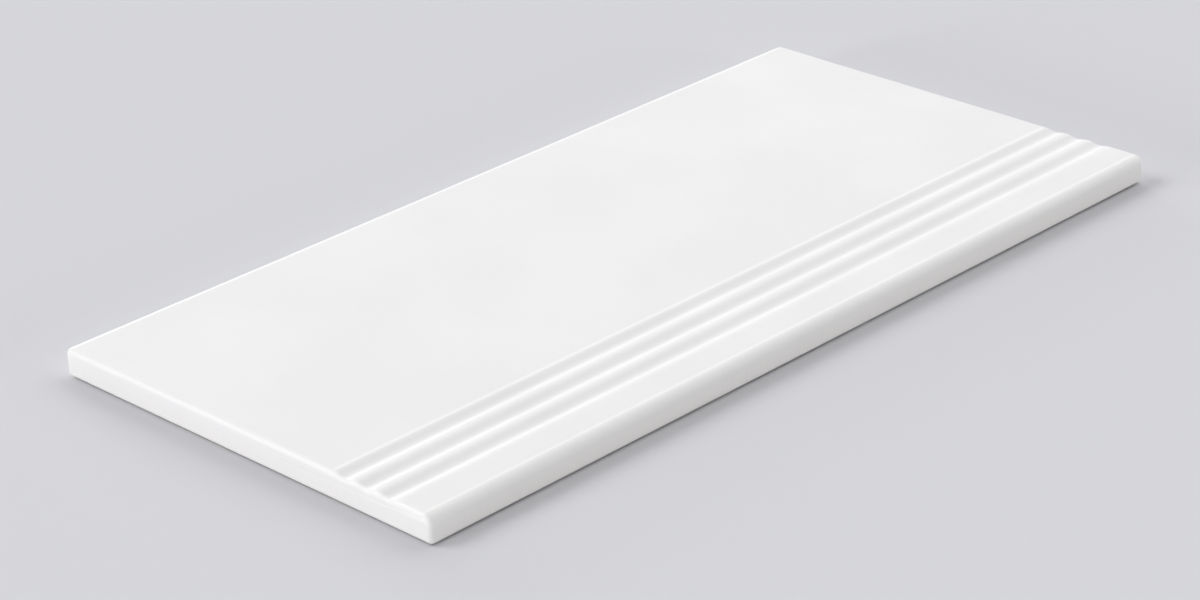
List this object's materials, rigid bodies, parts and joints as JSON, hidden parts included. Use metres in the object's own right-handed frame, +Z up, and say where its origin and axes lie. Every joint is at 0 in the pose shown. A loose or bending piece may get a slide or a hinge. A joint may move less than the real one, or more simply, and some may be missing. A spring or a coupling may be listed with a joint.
{
  "type": "stair tread tile",
  "caption": "White porcelain stair tread tile with a rounded nosing, anti-slip flutes along its front edge and a keyed back.",
  "frame": {"origin": "on the bed, under the middle of the tile: the plane of the rib tops under the tile, midway along and across it", "axes": "+X along the nosing, -Y out through the nosing so that +Y points to the back edge, +Z up out of the walking face"},
  "size_m": [0.6, 0.3, 0.018],
  "materials": {
    "porcelain": "satin"
  },
  "bodies": {
    "root": {"tread_tile": "porcelain"}
  },
  "joints": []
}
